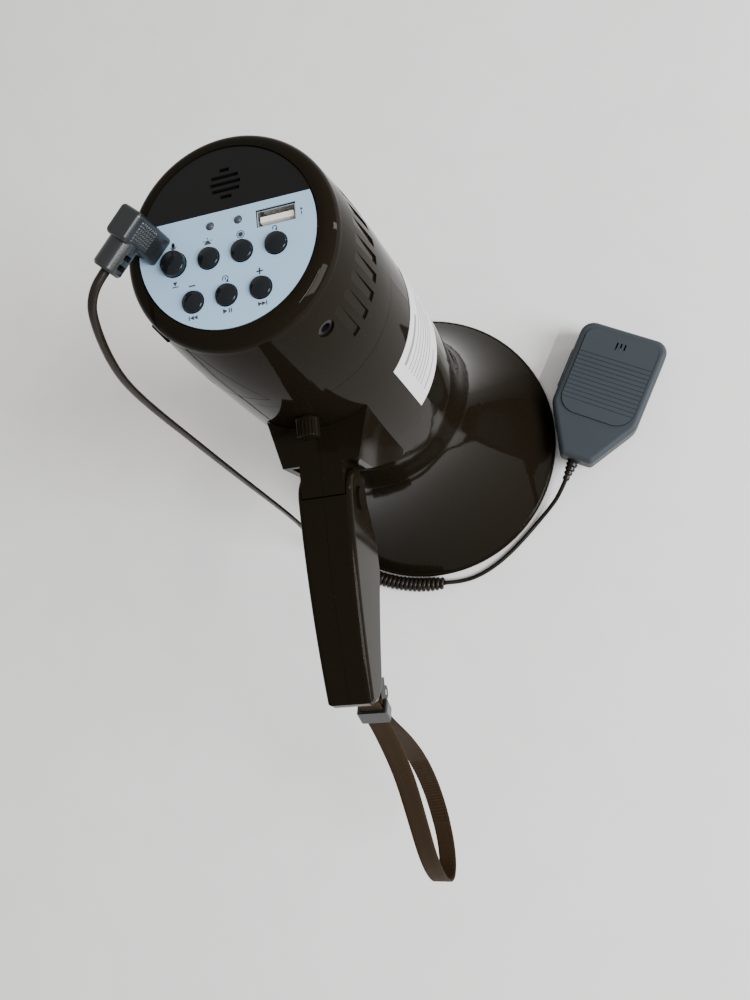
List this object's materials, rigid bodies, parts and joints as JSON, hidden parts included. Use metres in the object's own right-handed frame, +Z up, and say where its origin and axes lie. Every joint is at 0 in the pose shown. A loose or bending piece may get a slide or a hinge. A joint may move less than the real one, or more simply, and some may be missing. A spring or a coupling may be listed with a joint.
{
  "type": "handheld megaphone",
  "caption": "Handheld megaphone standing on its horn mouth, with a folding pistol grip, wrist strap, control panel and corded hand microphone",
  "frame": {"origin": "centre of the horn's mouth, on the plane of the rim it stands on", "axes": "+Z up the horn's axis towards the rear control panel, +X to the user's right, grip towards -Y"},
  "size_m": [0.269, 0.3694, 0.344],
  "materials": {
    "shell_black": "piano-black gloss",
    "rear_black": "satin black",
    "panel_charcoal": "fine matte",
    "label_grey": "silver-lavender print on film",
    "button_black": "gloss",
    "lamp_smoke": "smoked lens",
    "usb_steel": "bright",
    "tongue_white": "matte",
    "switch_black": "matte",
    "board_green": "solder-mask green",
    "capsule_metal": "satin",
    "socket_black": "matte",
    "battery_wrap": "heat-shrink blue",
    "inner_black": "matte",
    "steel": "zinc plated",
    "ferrite": "sintered ferrite",
    "diaphragm": "amber film",
    "sticker_white": "matte paper",
    "mic_charcoal": "fine texture",
    "mic_plate": "ribbed, fine texture",
    "cord_pvc": "soft PVC",
    "plug_black": "moulded",
    "plug_steel": "nickel plated",
    "webbing": "woven nylon"
  },
  "bodies": {
    "horn": {"horn_bell": "shell_black", "rear_shell": "shell_black", "control_panel": "panel_charcoal", "panel_label": "label_grey", "usb_shell": "usb_steel", "usb_tongue": "tongue_white", "tact_switches": "switch_black", "control_board": "board_green", "indicator_lamps": "lamp_smoke", "mic_capsule": "capsule_metal", "mic_jack": "socket_black", "battery_pack": "battery_wrap", "battery_tray": "inner_black", "amplifier_board": "board_green", "volume_pot": "inner_black", "driver_bulkhead": "inner_black", "driver_yoke": "steel", "driver_magnet": "ferrite", "driver_top_plate": "steel", "driver_diaphragm": "diaphragm", "driver_screws": "steel", "throat_tube": "inner_black", "reflector": "shell_black", "bracket_left": "shell_black", "bracket_right": "shell_black", "bracket_screws": "steel", "charge_socket": "socket_black", "rating_sticker": "sticker_white", "hand_mic_front": "mic_charcoal", "hand_mic_back": "mic_charcoal", "hand_mic_plate": "mic_plate", "cord_boot": "cord_pvc", "hand_mic_board": "board_green", "hand_mic_capsule": "capsule_metal", "hand_mic_screws": "steel", "plug_body": "plug_black", "plug_pin": "plug_steel", "cord_lead": "cord_pvc", "cord_curl": "cord_pvc", "cord_tail": "cord_pvc"},
    "grip": {"grip_left": "shell_black", "grip_right": "shell_black", "pivot_pin": "shell_black", "grip_screws": "steel", "trigger_switch": "switch_black", "strap_bar": "steel"},
    "trigger_lever": {"trigger": "button_black"},
    "strap": {"strap_slide": "plug_black", "wrist_strap": "webbing"},
    "door": {"battery_door": "rear_black"},
    "knob": {"volume_knob": "shell_black"},
    "talk_bar": {"hand_mic_talk_bar": "mic_charcoal"},
    "belt_clip": {"hand_mic_clip": "mic_charcoal"},
    "hold_talk": {"hold_talk_button": "button_black"},
    "siren": {"siren_button": "button_black"},
    "record": {"record_button": "button_black"},
    "replay": {"replay_button": "button_black"},
    "volume_down": {"volume_down_button": "button_black"},
    "play": {"play_button": "button_black"},
    "volume_up": {"volume_up_button": "button_black"}
  },
  "joints": [
    {"name": "handle_fold", "type": "hinge", "parent": "horn", "child": "grip", "pos_m": [0, -0.0735, 0.2345], "axis": [1, 0, 0], "range_deg": [0, 60]},
    {"name": "trigger_squeeze", "type": "hinge", "parent": "grip", "child": "trigger_lever", "pos_m": [0, -0.086, 0.216], "axis": [-1, 0, 0], "range_deg": [0, 8], "stiffness_Nm_per_rad": 0.25, "springref_deg": -5.73},
    {"name": "strap_swing", "type": "hinge", "parent": "grip", "child": "strap", "pos_m": [0, -0.1545, 0.213], "axis": [1, 0, 0], "range_deg": [-60, 0]},
    {"name": "battery_door_hinge", "type": "hinge", "parent": "horn", "child": "door", "pos_m": [-0.02834, -0.02378, 0.3182], "axis": [-0.6428, 0.766, 0], "range_deg": [0, 40]},
    {"name": "volume_knob_turn", "type": "hinge", "parent": "horn", "child": "knob", "pos_m": [0, -0.045, 0.26], "axis": [0, -1, 0], "range_deg": [0, 280]},
    {"name": "mic_talk_press", "type": "slide", "parent": "horn", "child": "talk_bar", "axis": [0.8738, -0.4863, 0], "range_m": [0, 0.0015], "stiffness_N_per_m": 900, "springref_m": -0.0005},
    {"name": "mic_clip_hinge", "type": "hinge", "parent": "horn", "child": "belt_clip", "pos_m": [0.13596, 0.02464, 0.0036], "axis": [0.8738, -0.4863, 0], "range_deg": [0, 12], "stiffness_Nm_per_rad": 0.3, "springref_deg": -5.73},
    {"name": "hold_talk_press", "type": "slide", "parent": "horn", "child": "hold_talk", "axis": [0, 0, -1], "range_m": [0, 0.0008], "stiffness_N_per_m": 900, "springref_m": -0.0004},
    {"name": "siren_press", "type": "slide", "parent": "horn", "child": "siren", "axis": [0, 0, -1], "range_m": [0, 0.0008], "stiffness_N_per_m": 900, "springref_m": -0.0004},
    {"name": "record_press", "type": "slide", "parent": "horn", "child": "record", "axis": [0, 0, -1], "range_m": [0, 0.0008], "stiffness_N_per_m": 900, "springref_m": -0.0004},
    {"name": "replay_press", "type": "slide", "parent": "horn", "child": "replay", "axis": [0, 0, -1], "range_m": [0, 0.0008], "stiffness_N_per_m": 900, "springref_m": -0.0004},
    {"name": "volume_down_press", "type": "slide", "parent": "horn", "child": "volume_down", "axis": [0, 0, -1], "range_m": [0, 0.0008], "stiffness_N_per_m": 900, "springref_m": -0.0004},
    {"name": "play_press", "type": "slide", "parent": "horn", "child": "play", "axis": [0, 0, -1], "range_m": [0, 0.0008], "stiffness_N_per_m": 900, "springref_m": -0.0004},
    {"name": "volume_up_press", "type": "slide", "parent": "horn", "child": "volume_up", "axis": [0, 0, -1], "range_m": [0, 0.0008], "stiffness_N_per_m": 900, "springref_m": -0.0004}
  ],
  "couplings": [
    {"joint": "strap_swing", "follows": "handle_fold", "ratio": -1}
  ]
}
